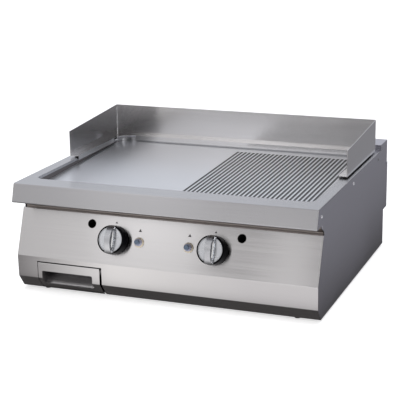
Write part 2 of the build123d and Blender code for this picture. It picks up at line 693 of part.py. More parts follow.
# ---- controls ----
def knob(side):
    """Black skirt, hollow underneath, with a hub for the spindle and a seat for the face."""
    plane = on_panel(SIDES[side] * KNOB_X, KNOB_S)
    foot, rim, seat = KNOB_STANDOFF, KNOB_RIM_H, KNOB_SEAT_H
    seat_r = KNOB_FACE_R + 0.1
    outline = [(0, foot), (KNOB_R, foot), (KNOB_R, foot + 3), (KNOB_RIM_R + 0.8, rim - 2.5),
               (KNOB_RIM_R + 0.2, rim - 0.8), (KNOB_RIM_R - 0.8, rim), (seat_r, rim), (seat_r, seat),
               (0, seat)]
    body = lathe(plane, outline)
    body -= ring(plane, KNOB_FACE_R - 1, KNOB_HUB_R, (foot - 1, seat - 4))
    return body - disc(plane, SPINDLE_R + 0.02, (foot - 1, SPINDLE_SPAN[1] + 0.5))


def knob_face(side):
    """Metal insert: a shallow dish with a raised lip, crossed by an arched grip with hollow flanks."""
    plane = on_panel(SIDES[side] * KNOB_X, KNOB_S)
    top = KNOB_RIM_H + 0.6
    face = disc(plane, KNOB_FACE_R, (KNOB_SEAT_H + 0.1, top))
    face = fillet(face.edges().filter_by(GeomType.CIRCLE).sort_by(Axis.Y)[0], 0.5)
    face -= disc(plane, KNOB_FACE_R - 1.4, (top - 0.8, top + 1))
    return face + grip(plane)


def grip(plane):
    """A bar across the face, highest in the middle, its flanks curved in."""
    foot = KNOB_RIM_H + 0.1
    rise = GRIP_H - foot
    waist_h = foot + rise * 0.45
    width = GRIP_HALF_W
    right = ThreePointArc((width["foot"], foot), (width["waist"], waist_h), (width["top"], GRIP_H))
    left = ThreePointArc((-width["top"], GRIP_H), (-width["waist"], waist_h), (-width["foot"], foot))
    edges = [right, Line(right @ 1, left @ 0), left, Line(left @ 1, right @ 0)]
    across = make_face(Plane.XZ * Wire(edges))
    bar = extrude(across, GRIP_END_R, both=True)
    arch_r = (GRIP_END_R ** 2 + (rise - 0.6) ** 2) / (2 * (rise - 0.6))
    arch = Pos(0, 0, GRIP_H - arch_r) * Rot(0, 90, 0) * Cylinder(arch_r, 3 * KNOB_R)
    ends = Pos(0, 0, GRIP_H / 2) * Cylinder(GRIP_END_R, 2 * GRIP_H)
    return plane.location * (bar & arch & ends)


def igniter_ring(side):
    """Bezel, collar and threaded barrel that the igniter button slides in."""
    plane = on_panel(SIDES[side] * IGNITER_X, IGNITER_S)
    collar_r = IGNITER_BARREL_R + 1.4
    outline = [(BUTTON_BORE_R, -24), (IGNITER_BARREL_R, -24), (IGNITER_BARREL_R, 0), (IGNITER_RING_R, 0),
               (IGNITER_RING_R, 1.4), (IGNITER_RING_R - 1.2, 3), (collar_r, 3.4),
               (collar_r - 0.3, IGNITER_COLLAR_H - 0.8), (collar_r - 1.2, IGNITER_COLLAR_H),
               (BUTTON_BORE_R, IGNITER_COLLAR_H)]
    return lathe(plane, outline)


def igniter_button(side):
    plane = on_panel(SIDES[side] * IGNITER_X, IGNITER_S)
    outline = [(0, -16), (BUTTON_R, -16), (BUTTON_R, BUTTON_H - 1.4), (BUTTON_R - 0.5, BUTTON_H - 0.4),
               (BUTTON_R - 1.5, BUTTON_H), (3.6, BUTTON_H), (2.8, BUTTON_H - 0.7), (0, BUTTON_H - 0.9)]
    return lathe(plane, outline)


def igniter_body(side):
    return disc(on_panel(SIDES[side] * IGNITER_X, IGNITER_S), 9.5, (-62, -24.2))


def sight_tube(side):
    plane = on_panel(SIDES[side] * SIGHT_X, SIGHT_S)
    return ring(plane, SIGHT_R - 0.1, SIGHT_R - 1.1, (-80, -0.3))


def panel_marks():
    """Plain triangles: one index over each knob, one over each igniter."""
    marks = []
    for sign in SIDES.values():
        for x, down, size in ((KNOB_X, MARK_S, MARK_SIZE), (IGNITER_X, SPARK_MARK_S, SPARK_MARK_SIZE)):
            triangle = on_panel(sign * x, down) * RegularPolygon(size, 3, rotation=90)
            marks.append(extrude(triangle, 0.3))
    return Compound(marks)


# ---- grease drawer ----
def band_y(z):
    """Where the upright band of the front is, at a height."""
    share = (PANEL_FOLD[1] - z) / (PANEL_FOLD[1] - BAND_FOOT[1])
    return PANEL_FOLD[0] + share * (BAND_FOOT[0] - PANEL_FOLD[0])


def drawer_front():
    line = ((14, DRAWER_TOP_Z), (band_y(DRAWER_TOP_Z), DRAWER_TOP_Z), BAND_FOOT, CHAMFER_FOOT, (32, 0))
    front = folded_sheet(line, SHEET, DRAWER_X, bend_r=0.2)
    opening = block(HANDLE_X, (-5, 30), HANDLE_Z)
    opening = fillet(opening.edges().filter_by(Axis.Y), HANDLE_CORNER_R)
    return front - opening


def handle_pocket():
    """Finger pocket behind the drawer's opening, its floor sloping up to the back."""
    (low, high), back = HANDLE_Z, TRAY_Y[0] - 0.2
    inner_line = offset_line(((band_y(DRAWER_TOP_Z), DRAWER_TOP_Z), BAND_FOOT, CHAMFER_FOOT), SHEET + 0.05)
    behind_x = (HANDLE_X[0] - POCKET_T - 1, HANDLE_X[1] + POCKET_T + 1)
    behind = prism(inner_line + [(60, 1.5), (60, DRAWER_TOP_Z)], behind_x)
    t = POCKET_T
    step, foot = POCKET_STEP_Y, high - POCKET_BACK_H
    shell_line = [(0, low - t), (step, low - t), (back, foot - t), (back, high + t), (0, high + t)]
    shell = prism(shell_line, (HANDLE_X[0] - t, HANDLE_X[1] + t))
    hollow_line = [(-5, low), (step, low), (back - t, foot), (back - t, high), (-5, high)]
    return (shell & behind) - prism(hollow_line, HANDLE_X)


def drawer_tray():
    """Open box that catches the grease."""
    tray = block(TRAY_X, TRAY_Y, TRAY_Z)
    (left, right), (front, back), (low, top), t = TRAY_X, TRAY_Y, TRAY_Z, TRAY_T
    inside = block((left + t, right - t), (front + t, back - t), (low + t, top + 1))
    return tray - fillet(inside.edges().filter_by(Axis.Z), TRAY_CORNER_R)


def drawer_runners():
    """An angle on each side that the tray slides along."""
    rails = []
    for wall_x, inward in ((TRAY_X[0] - 2 * RUNNER_T, 1), (TRAY_X[1] + 2 * RUNNER_T, -1)):
        web = tuple(sorted((wall_x, wall_x + inward * RUNNER_T)))
        ledge = tuple(sorted((wall_x, wall_x + inward * RUNNER_LEDGE)))
        rail = block(web, RUNNER_Y, RUNNER_Z)
        rail += block(ledge, RUNNER_Y, (RUNNER_LEDGE_Z, RUNNER_LEDGE_Z + RUNNER_T))
        rails.append(rail)
    return Compound(rails)


def build():
    """Every piece by name."""
    pieces = {
        "worktop": worktop(),
        "recess_strip": recess_strip(),
        "front_panel": front_panel(),
        "back_panel": back_panel(),
        "base_pan": base_pan(),
        "frame_angles": frame_angles(),
        "feet": feet(),
        "foot_screws": foot_screws(),
        "casing_screws": casing_screws(),
        "flue_casing": flue_casing(),
        "flue_duct": flue_duct(),
        "griddle_plate": griddle_plate(),
        "grease_gutter": grease_gutter(),
        "drain_spout": drain_spout(),
        "splash_guard": splash_guard(),
        "guard_buffers": guard_buffers(),
        "burner_box": burner_box(),
        "heat_shield": heat_shield(),
        "burner_brackets": burner_brackets(),
        "gas_manifold": gas_manifold(),
        "gas_inlet": gas_inlet(),
        "panel_marks": panel_marks(),
        "drawer_front": drawer_front(),
        "handle_pocket": handle_pocket(),
        "drawer_tray": drawer_tray(),
        "drawer_runners": drawer_runners(),
    }
    per_side = (side_panel, burner, valve, spindle, thrust_collar, feed_pipe, injector, pilot, thermocouple,
                electrode, knob, knob_face, igniter_ring, igniter_button, igniter_body, sight_tube)
    for make in per_side:
        for side in SIDES:
            pieces[f"{make.__name__}_{side}"] = make(side)
    return pieces


def save(pieces):
    """Centre the griddle over the origin, on the floor, and write each piece."""
    boxes = [piece.bounding_box() for piece in pieces.values()]
    front = min(box.min.Y for box in boxes)
    back = max(box.max.Y for box in boxes)
    place = Pos(0, -(front + back) / 2, FOOT_H)
    os.makedirs("parts", exist_ok=True)
    for name, piece in pieces.items():
        export_step(place * piece, f"parts/{name}.step")
    print(f"front {front:.3f}  back {back:.3f}  shift {-(front + back) / 2:.4f}")


save(build())
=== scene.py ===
"""Looks of the counter-top gas griddle: materials, small visual pieces, stage, lights and camera."""
import math

import bmesh
import bpy
from mathutils import Matrix, Vector
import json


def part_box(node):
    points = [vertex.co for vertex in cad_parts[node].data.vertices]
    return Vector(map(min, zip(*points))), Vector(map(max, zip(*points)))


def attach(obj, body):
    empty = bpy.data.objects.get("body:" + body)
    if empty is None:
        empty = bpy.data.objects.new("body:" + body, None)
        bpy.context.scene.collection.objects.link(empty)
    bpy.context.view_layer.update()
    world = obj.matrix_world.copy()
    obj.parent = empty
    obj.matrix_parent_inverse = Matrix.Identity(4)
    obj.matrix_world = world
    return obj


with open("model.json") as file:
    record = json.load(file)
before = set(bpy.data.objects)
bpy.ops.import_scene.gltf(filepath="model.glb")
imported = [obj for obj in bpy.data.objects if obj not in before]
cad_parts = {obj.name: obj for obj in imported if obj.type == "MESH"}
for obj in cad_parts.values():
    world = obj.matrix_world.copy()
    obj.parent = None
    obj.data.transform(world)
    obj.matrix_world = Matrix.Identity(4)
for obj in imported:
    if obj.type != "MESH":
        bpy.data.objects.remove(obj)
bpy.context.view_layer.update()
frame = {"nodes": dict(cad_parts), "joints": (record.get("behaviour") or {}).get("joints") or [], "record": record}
NODES = frame["nodes"]

# ---------------------------------------------------------------- places, from the frame, in metres
# the sloping control panel, from the joint that each knob turns on
KNOB_TURNS = {joint["child"]: joint for joint in frame["joints"] if joint["type"] == "hinge"}
PANEL_POINT = Vector(KNOB_TURNS["knob_right"]["pos_m"])
PANEL_NORMAL = Vector(KNOB_TURNS["knob_right"]["axis"])
ACROSS = Vector((1, 0, 0))
DOWN_PANEL = ACROSS.cross(PANEL_NORMAL)

# the cooking plate's top, which falls towards the front
plate_low, plate_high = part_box("griddle_plate")
PLATE_THICKNESS = 0.012
PLATE_FALL = (plate_high.z - plate_low.z - PLATE_THICKNESS) / (plate_high.y - plate_low.y)
PLATE_MIDDLE_Z = plate_high.z - PLATE_FALL * plate_high.y

# where the walls of the pan begin, which are painted darker as a painted shade and dark reflection below the rim,
# each as a fading edge
RIM_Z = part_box("worktop")[1].z
PAN_FRONT_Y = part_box("grease_gutter")[0].y
PAN_RIM = (RIM_Z - 0.0066, RIM_Z - 0.0078)
PAN_SIDE = (plate_high.x + 0.0023, plate_high.x + 0.0015)
PAN_FRONT = (PAN_FRONT_Y - 0.0035, PAN_FRONT_Y - 0.0020)
PAN_BACK = (plate_high.y - 0.0026, plate_high.y - 0.0476)
# where the screws' painted shade begins towards the back, and where it is full
SCREW_SHADE_SPAN = (plate_high.y - 0.1176, plate_high.y - 0.0376)

# depth below the plate's top at which the painted shade in a groove begins and is full, and height off the panel
# of the foot of a knob's grip, above which the grip takes a darker painted shade, and of an igniter's collar, each
# as a fading edge
GROOVE_SHADE_DEPTH = (0.00012, 0.00047)
GRIP_SHADE_FOOT = (0.030, 0.0325)
COLLAR_FOOT = (0.0033, 0.0036)


# ---------------------------------------------------------------- shader helpers
class NodeTree:
    """Short ways to add nodes to a tree. A value is a number, a colour or another node's output."""

    def __init__(self, tree):
        self.tree = tree

    def node(self, kind, **settings):
        made = self.tree.nodes.new(kind)
        for key, value in settings.items():
            setattr(made, key, value)
        return made

    def link(self, source, target):
        self.tree.links.new(source, target)

    def give(self, socket, value):
        """Sets a socket, or links it where the value is another node's output."""
        if isinstance(value, (int, float)):
            socket.default_value = value
        elif isinstance(value, tuple):
            socket.default_value = (*value, 1)
        else:
            self.link(value, socket)

    def math(self, operation, a, b=0.0):
        made = self.node("ShaderNodeMath", operation=operation)
        for socket, value in zip(made.inputs, (a, b)):
            self.give(socket, value)
        return made.outputs["Value"]

    def add(self, a, b):
        return self.math("ADD", a, b)

    def multiply(self, a, b):
        return self.math("MULTIPLY", a, b)

    def ramp(self, value, low, high, to_low=0.0, to_high=1.0):
        """Maps value from low..high to to_low..to_high, clamped."""
        made = self.node("ShaderNodeMapRange")
        numbers = {"From Min": low, "From Max": high, "To Min": to_low, "To Max": to_high}
        for key, number in numbers.items():
            made.inputs[key].default_value = number
        self.link(value, made.inputs["Value"])
        return made.outputs["Result"]

    def mix(self, factor, a, b, blend="MIX"):
        """Mixes two colours."""
        made = self.node("ShaderNodeMix", data_type="RGBA", blend_type=blend)
        self.give(made.inputs["Factor"], factor)
        self.give(made.inputs[6], a)
        self.give(made.inputs[7], b)
        return made.outputs[2]

    def parts(self, vector):
        """The X, Y and Z parts of a vector."""
        split = self.node("ShaderNodeSeparateXYZ")
        self.link(vector, split.inputs["Vector"])
        return split.outputs


# the range that most of a noise texture's values lie in
NOISE_RANGE = (0.3, 0.7)


class Shader(NodeTree):
    """A material's node tree with a principled surface."""

    def __init__(self, name, color, metallic, roughness):
        self.material = bpy.data.materials.new(name)
        self.material.use_nodes = True
        super().__init__(self.material.node_tree)
        self.surface = self.tree.nodes["Principled BSDF"]
        self.surface.inputs["Base Color"].default_value = (*color, 1)
        self.surface.inputs["Metallic"].default_value = metallic
        self.surface.inputs["Roughness"].default_value = roughness
        self.where = self.node("ShaderNodeTexCoord").outputs["Object"]

    def stretched(self, scale):
        """Object coordinates multiplied by a vector."""
        mapping = self.node("ShaderNodeMapping")
        mapping.inputs["Scale"].default_value = scale
        self.link(self.where, mapping.inputs["Vector"])
        return mapping.outputs["Vector"]

    def noise(self, scale, detail=2.0, stretch=(1, 1, 1), rough=0.5):
        made = self.node("ShaderNodeTexNoise")
        made.inputs["Scale"].default_value = scale
        made.inputs["Detail"].default_value = detail
        made.inputs["Roughness"].default_value = rough
        self.link(self.stretched(stretch), made.inputs["Vector"])
        return made.outputs["Fac"]

    def spread(self, noise, to_low, to_high):
        """Spreads a noise's usual values over to_low..to_high."""
        return self.ramp(noise, *NOISE_RANGE, to_low, to_high)

    def paint(self, socket):
        self.link(socket, self.surface.inputs["Base Color"])

    def roughen(self, socket):
        self.link(socket, self.surface.inputs["Roughness"])

    def bump(self, height, distance, strength=1.0, edge=0.0):
        """Raises the surface by height times distance; edge is the radius that corners seem to have."""
        made = self.node("ShaderNodeBump")
        made.inputs["Strength"].default_value = strength
        made.inputs["Distance"].default_value = distance
        self.link(height, made.inputs["Height"])
        if edge:
            self.link(self.rounded_edges(edge), made.inputs["Normal"])
        self.link(made.outputs["Normal"], self.surface.inputs["Normal"])

    def rounded_edges(self, radius):
        bevel = self.node("ShaderNodeBevel", samples=4)
        bevel.inputs["Radius"].default_value = radius
        return bevel.outputs["Normal"]

    def smeared_along(self, direction, amount):
        """Draws reflections out along a direction, which on brushed metal is across the grain."""
        tangent = self.node("ShaderNodeCombineXYZ")
        for socket, value in zip(tangent.inputs, direction):
            socket.default_value = value
        self.surface.inputs["Anisotropic"].default_value = amount
        self.link(tangent.outputs["Vector"], self.surface.inputs["Tangent"])

    def off_panel(self):
        """Height above the sloping control panel, in metres."""
        reach = self.node("ShaderNodeVectorMath", operation="DOT_PRODUCT")
        self.link(self.where, reach.inputs[0])
        reach.inputs[1].default_value = PANEL_NORMAL
        return self.math("SUBTRACT", reach.outputs["Value"], PANEL_POINT.dot(PANEL_NORMAL))

    def below_plate_top(self):
        """Depth below the cooking plate's falling top, in metres."""
        at = self.parts(self.where)
        top = self.add(self.multiply(at["Y"], PLATE_FALL), PLATE_MIDDLE_Z)
        return self.math("SUBTRACT", top, at["Z"])

    def pan_wall(self):
        """1 on the front and side walls of the pan that the plate sits in, 0 elsewhere."""
        at = self.parts(self.where)
        below_rim = self.ramp(at["Z"], *PAN_RIM)
        inside = self.ramp(self.math("ABSOLUTE", at["X"]), *PAN_SIDE)
        behind_lip = self.ramp(at["Y"], *PAN_FRONT)
        before_back = self.ramp(at["Y"], *PAN_BACK)
        return self.multiply(self.multiply(below_rim, inside), self.multiply(behind_lip, before_back))

    def crevice(self, reach):
        """1 in the open, falling to 0 deep in a corner."""
        hidden = self.node("ShaderNodeAmbientOcclusion", samples=6)
        hidden.inputs["Distance"].default_value = reach
        return hidden.outputs["AO"]


# ---------------------------------------------------------------- brushed and ground steel
AXES = {"X": (1, 0, 0), "Y": (0, 1, 0)}
# the direction in which steel brushed along each axis smears a reflection
SMEAR = {"X": (0, 0.45, 0.89), "Y": (0.3, 0, 0.95)}
# noise scales of brushing: along its lines, and across them for grain, streaks and long scratches
ALONG_LINES = 2.5
GRAIN = 1100
STREAKS = 330
SCRATCHES = 640
GRAIN_HEIGHT = 0.000004
# what a scratch takes off the grain's height and adds to tone and roughness
SCRATCH_CUT = 0.3
SCRATCH_TONE = 0.045
SCRATCH_ROUGHNESS = -0.018
# colours of the painted shade in deep corners, and of the painted shade and dark reflection on the pan's walls
CORNER_SHADE_GREY = (0.09, 0.09, 0.093)
PAN_WALL_SHADE = (0.17, 0.155, 0.155)


def grain_stretch(axis, fine):
    """A scale that draws noise out into lines along one axis."""
    return tuple(ALONG_LINES if direction else fine for direction in AXES[axis])


def brushed_steel(name, color, roughness, axis, anisotropy, corner=0.0, pan=False):
    """Brushed stainless steel: fine grain, soft clouding, a few long scratches.

    Where corner gives a reach in metres, deep corners get a painted shade; with pan, the pan's walls are painted
    darker, a painted shade and dark reflection below the rim."""
    s = Shader(name, color, 1.0, roughness)
    grain = s.noise(1.0, 3.0, grain_stretch(axis, GRAIN), 0.7)
    streak = s.noise(1.0, 2.0, grain_stretch(axis, STREAKS), 0.6)
    cloud = s.noise(4.0, 3.0)
    scratch = s.ramp(s.noise(1.0, 1.0, grain_stretch(axis, SCRATCHES), 0.3), 0.7, 0.76)
    tone = s.add(s.spread(grain, -0.06, 0.06), s.spread(streak, -0.06, 0.06))
    tone = s.add(tone, s.spread(cloud, -0.06, 0.06))
    tone = s.add(tone, s.multiply(scratch, SCRATCH_TONE))
    light = tuple(min(1.0, c * 1.12) for c in color)
    dark = tuple(c * 0.88 for c in color)
    painted = s.mix(s.add(tone, 0.5), dark, light)
    if corner:
        # painted shade: deep corners darken to grey
        painted = s.mix(s.ramp(s.crevice(corner), 0.12, 0.62), CORNER_SHADE_GREY, painted)
    if pan:
        # painted shade: the pan's walls below the rim are painted darker
        painted = s.mix(s.pan_wall(), painted, PAN_WALL_SHADE)
    s.paint(painted)
    rough = s.add(s.spread(streak, -0.02, 0.02), s.spread(cloud, -0.02, 0.03))
    rough = s.add(rough, s.multiply(scratch, SCRATCH_ROUGHNESS))
    s.roughen(s.add(rough, roughness))
    s.bump(s.add(grain, s.multiply(scratch, -SCRATCH_CUT)), GRAIN_HEIGHT, 0.04, 0.0006)
    s.smeared_along(SMEAR[axis], anisotropy)
    return s.material


def plate_steel():
    """The ground cooking surface: fine crossed scratches, faint clouding, painted shade in the groove bottoms."""
    s = Shader("plate_steel", (0.7, 0.715, 0.75), 0.92, 0.31)
    along = s.noise(1.0, 3.0, grain_stretch("Y", GRAIN), 0.7)
    across = s.noise(1.0, 2.0, grain_stretch("X", 800), 0.6)
    cloud = s.noise(3.0, 4.0)
    tone = s.add(s.spread(along, -0.08, 0.08), s.spread(across, -0.05, 0.05))
    tone = s.add(tone, s.spread(cloud, -0.03, 0.03))
    clean = s.mix(s.add(tone, 0.5), (0.70, 0.72, 0.765), (0.80, 0.81, 0.84))
    # painted shade: groove bottoms darken to near black with depth below the top
    groove_shade = s.ramp(s.below_plate_top(), *GROOVE_SHADE_DEPTH, 0.0, 0.98)
    s.paint(s.mix(groove_shade, clean, (0.02, 0.021, 0.026)))
    s.roughen(s.add(s.spread(cloud, 0.30, 0.32), s.spread(along, -0.02, 0.02)))
    s.bump(s.add(along, across), GRAIN_HEIGHT, 0.12, 0.0004)
    s.smeared_along((1, 0.25, 0), 0.3)
    return s.material


# ---------------------------------------------------------------- other metals
def galvanised():
    """Zinc-coated sheet: flakes of spangle, each with its own tone and shine."""
    s = Shader("galvanised_sheet", (0.42, 0.43, 0.45), 1.0, 0.42)
    spangle = s.node("ShaderNodeTexVoronoi")
    spangle.inputs["Scale"].default_value = 70
    s.link(s.where, spangle.inputs["Vector"])
    flake = s.node("ShaderNodeSeparateColor")
    s.link(spangle.outputs["Color"], flake.inputs["Color"])
    shade = flake.outputs["Red"]
    fine = s.noise(40, 3.0)
    tone = s.add(s.ramp(shade, 0, 1, 0.3, 0.7), s.spread(fine, -0.2, 0.2))
    s.paint(s.mix(tone, (0.32, 0.33, 0.35), (0.52, 0.53, 0.55)))
    s.roughen(s.ramp(shade, 0, 1, 0.34, 0.5))
    s.bump(fine, 0.00003, 0.4, 0.0005)
    return s.material


def burnt_steel(name, cool, hot, roughness):
    """Heat-stained steel, from a cool colour to a hot one in soft patches."""
    s = Shader(name, cool, 0.85, roughness)
    patch = s.noise(9.0, 5.0, rough=0.65)
    fine = s.noise(220.0, 3.0)
    s.paint(s.mix(s.ramp(s.add(patch, s.multiply(fine, 0.25)), 0.4, 0.85), cool, hot))
    s.roughen(s.spread(patch, roughness - 0.1, roughness + 0.15))
    s.bump(s.add(fine, patch), 0.00006, 0.6, 0.0005)
    return s.material


def cast_face():
    """Satin die-cast knob insert: fine polish, a darker painted shade on the grip above its foot, and painted
    shade where the grip meets the dish.
    """
    s = Shader("knob_insert", (0.74, 0.76, 0.80), 1.0, 0.28)
    polish = s.noise(900.0, 3.0)
    cloud = s.noise(70.0, 3.0)
    tone = s.add(s.spread(polish, 0.35, 0.65), s.spread(cloud, -0.15, 0.15))
    clean = s.mix(tone, (0.70, 0.72, 0.76), (0.82, 0.84, 0.88))
    # painted shade: the grip above its foot is painted darker than the dish
    clean = s.mix(s.ramp(s.off_panel(), *GRIP_SHADE_FOOT), clean, (0.60, 0.61, 0.64))
    # painted shade: near-black in the crevices where the grip meets the dish
    s.paint(s.mix(s.ramp(s.crevice(0.006), 0.35, 0.95), (0.10, 0.105, 0.115), clean))
    s.roughen(s.spread(cloud, 0.22, 0.34))
    s.bump(polish, 0.000005, 0.3, 0.0005)
    return s.material


def machined(name, color, roughness, metallic=1.0, back_shade=None):
    """Turned metal such as brass or plated steel, with tool marks and tarnish.

    Where a colour is given for the back, the metal is painted towards it near the back of the griddle, as a
    painted shade."""
    s = Shader(name, color, metallic, roughness)
    tarnish = s.noise(60.0, 4.0)
    marks = s.noise(1.0, 2.0, (1400, 120, 1400), 0.6)
    painted = s.mix(s.ramp(tarnish, 0.35, 0.75), color, tuple(c * 0.75 for c in color))
    if back_shade:
        painted = s.mix(s.ramp(s.parts(s.where)["Y"], *SCREW_SHADE_SPAN), painted, back_shade)
    s.paint(painted)
    s.roughen(s.add(s.spread(tarnish, -0.05, 0.1), roughness))
    s.bump(marks, 0.00002, 0.4, 0.0003)
    return s.material


# ---------------------------------------------------------------- plastic, rubber, ceramic, ink
def moulded_plastic(name, color, worn, roughness, coat=0.0, edge=0.0004, gloss=0.5):
    """Injection-moulded plastic: slight orange peel, finger grease in patches, rubbed specks."""
    s = Shader(name, color, 0.0, roughness)
    peel = s.noise(500.0, 2.0)
    grease = s.noise(45.0, 4.0, rough=0.6)
    rubbed = s.ramp(s.noise(900.0, 3.0, rough=0.7), 0.62, 0.72, 0.0, 0.35)
    s.paint(s.mix(rubbed, color, worn))
    s.roughen(s.ramp(grease, 0.35, 0.7, roughness, roughness + 0.12))
    s.surface.inputs["Specular IOR Level"].default_value = gloss
    s.surface.inputs["Coat Weight"].default_value = coat
    s.surface.inputs["Coat Roughness"].default_value = 0.06
    s.bump(peel, 0.000005, 0.3, edge)
    return s.material


def igniter_bezel():
    """Cream bezel with a pale lilac collar standing out of it."""
    s = Shader("igniter_bezel", (0.7, 0.62, 0.5), 0.0, 0.3)
    grease = s.noise(160.0, 4.0)
    greasy = s.ramp(grease, 0.4, 0.75)
    cream = s.mix(greasy, (0.80, 0.71, 0.56), (0.66, 0.57, 0.43))
    lilac = s.mix(greasy, (0.42, 0.43, 0.56), (0.34, 0.35, 0.47))
    s.paint(s.mix(s.ramp(s.off_panel(), *COLLAR_FOOT), cream, lilac))
    s.roughen(s.spread(grease, 0.25, 0.4))
    s.surface.inputs["Coat Weight"].default_value = 0.3
    s.bump(grease, 0.00001, 0.3, 0.0004)
    return s.material


def rubber():
    """Black foot rubber, dusty in patches."""
    s = Shader("foot_rubber", (0.025, 0.025, 0.026), 0.0, 0.75)
    dust = s.noise(120.0, 4.0)
    s.paint(s.mix(s.ramp(dust, 0.5, 0.8), (0.02, 0.02, 0.021), (0.07, 0.068, 0.065)))
    s.roughen(s.spread(dust, 0.65, 0.85))
    s.bump(dust, 0.0001, 0.6, 0.0004)
    return s.material


def glazed_ceramic():
    """White glazed insulator with brownish specks."""
    s = Shader("glazed_insulator", (0.82, 0.80, 0.76), 0.0, 0.2)
    speck = s.noise(300.0, 3.0)
    s.paint(s.mix(s.ramp(speck, 0.55, 0.7), (0.84, 0.82, 0.78), (0.62, 0.58, 0.52)))
    s.roughen(s.spread(speck, 0.15, 0.3))
    s.bump(speck, 0.00003, 0.4)
    return s.material


def print_ink():
    """Black printed ink, worn thin in specks."""
    s = Shader("printed_mark", (0.05, 0.05, 0.055), 0.0, 0.45)
    wear = s.noise(1500.0, 3.0)
    s.paint(s.mix(s.ramp(wear, 0.62, 0.75), (0.05, 0.05, 0.055), (0.25, 0.25, 0.26)))
    s.roughen(s.spread(wear, 0.4, 0.6))
    s.bump(wear, 0.00001, 0.3)
    return s.material


# ---------------------------------------------------------------- finish of every CAD node
def finishes():
    """The material of each record slot, and last that of the white lines laid on the knobs' grips as a painted
    highlight.
    """
    black = (0.003, 0.003, 0.004)
    black_worn = (0.006, 0.006, 0.007)
    trim_worn = (0.006, 0.006, 0.006)
    button_blue = (0.13, 0.18, 0.26)
    button_worn = (0.3, 0.34, 0.4)
    screw_back_shade = (0.16, 0.16, 0.17)
    front_steel = (0.70, 0.69, 0.70)
    return {
        "worktop_steel": brushed_steel("worktop_steel", (0.53, 0.53, 0.55), 0.22, "X", 0.7, pan=True),
        "plate_steel": plate_steel(),
        "guard_steel": brushed_steel("guard_steel", (0.80, 0.79, 0.80), 0.18, "X", 0.75),
        "panel_steel": brushed_steel("panel_steel", front_steel, 0.17, "X", 0.95),
        "side_steel": brushed_steel("side_steel", (0.575, 0.567, 0.63), 0.32, "Y", 0.5),
        "drawer_steel": brushed_steel("drawer_steel", front_steel, 0.17, "X", 0.8, corner=0.03),
        "inner_steel": galvanised(),
        # painted shade: the steel under the control panel's lip is painted darker and browner than the panel
        "recess_steel": brushed_steel("recess_steel", (0.40, 0.36, 0.34), 0.3, "X", 0.6),
        "burner_steel": burnt_steel("burner_steel", (0.12, 0.11, 0.10), (0.28, 0.17, 0.10), 0.5),
        "gas_pipe": burnt_steel("gas_pipe", (0.38, 0.38, 0.36), (0.50, 0.49, 0.44), 0.4),
        "tap_brass": machined("tap_brass", (0.68, 0.52, 0.26), 0.28),
        "knob_black": moulded_plastic("knob_black", black, black_worn, 0.05, edge=0.0006, gloss=0.05),
        "knob_metal": cast_face(),
        "ring_cream": igniter_bezel(),
        "button_grey": moulded_plastic("button_grey", button_blue, button_worn, 0.25, coat=0.4),
        "dark_trim": moulded_plastic("dark_trim", (0.003, 0.003, 0.003), trim_worn, 0.7),
        "foot_rubber": rubber(),
        "white_insulator": glazed_ceramic(),
        # painted highlight: the screws' bright colour stands in for the highlight on their heads; painted shade
        # darkens them towards the back
        "screw_steel": machined("screw_steel", (0.92, 0.92, 0.95), 0.3, 0.35, back_shade=screw_back_shade),
        "mark_ink": print_ink(),
        # painted highlight: the white lines on the grips' flanks
        "highlight_white": moulded_plastic("highlight_white", (0.9, 0.9, 0.9), (0.78, 0.78, 0.76), 0.4, edge=0.0),
    }


FINISH = finishes()


def dress(thing, finish):
    thing.data.materials.clear()
    thing.data.materials.append(FINISH[finish])


for entry in frame["record"]["subparts"]:
    dress(NODES[entry["node"]], entry["material_slot"])


# ---------------------------------------------------------------- small visual pieces
# the white line laid on the right flank of each knob's grip as a painted highlight; its height is off the panel
LINE_HALF_LENGTH = 0.0205
LINE_WIDTH = 0.0048
LINE_TIP_WIDTH = 0.0002
LINE_HEIGHT = 0.0352
LINE_RAISED = 0.0003
LINE_STEPS = 24
# the higher this power, the squarer the line's rounded ends
LINE_END_POWER = 6
# from a knob's axis to clear of its grip
CLEAR_OF_GRIP = 0.03


def add_piece(name, build, finish, body):
    """A mesh object made by filling a bmesh, dressed and tied to a body."""
    mesh = bpy.data.meshes.new(name)
    shape = bmesh.new()
    build(shape)
    bmesh.ops.recalc_face_normals(shape, faces=shape.faces)
    shape.to_mesh(mesh)
    shape.free()
    thing = bpy.data.objects.new(name, mesh)
    bpy.context.scene.collection.objects.link(thing)
    dress(thing, finish)
    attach(thing, body)


def on_flank(side, down, height):
    """The point and normal of a grip's right flank at a distance down the panel and a height off it."""
    axis = Vector(KNOB_TURNS["knob_" + side]["pos_m"])
    start = axis + ACROSS * CLEAR_OF_GRIP + DOWN_PANEL * down + PANEL_NORMAL * height
    _, place, normal, _ = NODES["knob_face_" + side].ray_cast(start, -ACROSS)
    return place, normal


def flank_highlight_line(side):
    """The white line laid on the flank of a grip as a painted highlight, raised a hair so that it covers the
    metal.
    """
    def build(shape):
        rows = []
        for step in range(LINE_STEPS + 1):
            share = 2 * step / LINE_STEPS - 1
            fullness = math.sqrt(max(0.0, 1 - share ** LINE_END_POWER))
            half = (LINE_WIDTH * fullness + LINE_TIP_WIDTH) / 2
            row = []
            for offset in (-half, half):
                place, normal = on_flank(side, share * LINE_HALF_LENGTH, LINE_HEIGHT + offset)
                row.append(shape.verts.new(place + normal * LINE_RAISED))
            rows.append(row)
        for (a, b), (c, d) in zip(rows, rows[1:]):
            shape.faces.new((a, b, d, c))
    return build


for side in ("left", "right"):
    add_piece("flank_highlight_line_" + side, flank_highlight_line(side), "highlight_white", "knob_" + side)


# ---------------------------------------------------------------- floor
FLOOR_SIZE = 28.0
PAPER_GLOW = 0.62
